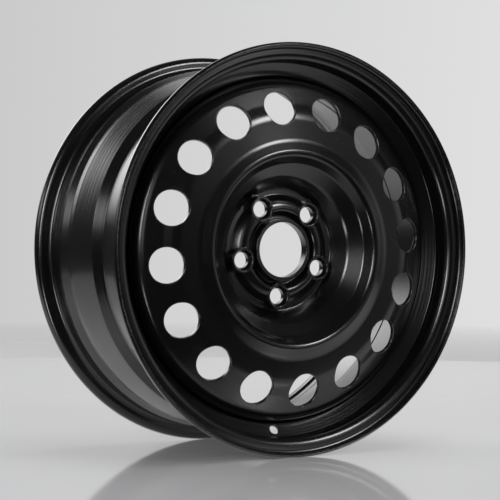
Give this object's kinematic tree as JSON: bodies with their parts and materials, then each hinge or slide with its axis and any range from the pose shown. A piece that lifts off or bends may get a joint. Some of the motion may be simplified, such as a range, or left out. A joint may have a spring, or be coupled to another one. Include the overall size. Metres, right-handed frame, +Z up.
{
  "type": "steel wheel",
  "caption": "Black painted pressed steel car wheel: a rolled drop-centre rim with J flanges, joined by weld beads to a stamped disc with round vent holes.",
  "frame": {"origin": "on the wheel's axle line, half way between the two bead seats, which is the centre of its bounding box", "axes": "+Y along the axle line, pointing inboard to the hub, so the outboard face looks towards -Y; +Z up; +X completes the right-handed frame"},
  "size_m": [0.4715, 0.2164, 0.4716],
  "materials": {
    "rim_paint": "gloss black",
    "disc_paint": "gloss black",
    "bead_paint": "satin black"
  },
  "bodies": {
    "root": {"rim": "rim_paint", "disc": "disc_paint", "weld_bead_1": "bead_paint", "weld_bead_2": "bead_paint", "weld_bead_3": "bead_paint", "weld_bead_4": "bead_paint", "weld_bead_5": "bead_paint", "weld_bead_6": "bead_paint", "weld_bead_7": "bead_paint", "weld_bead_8": "bead_paint"}
  },
  "joints": []
}
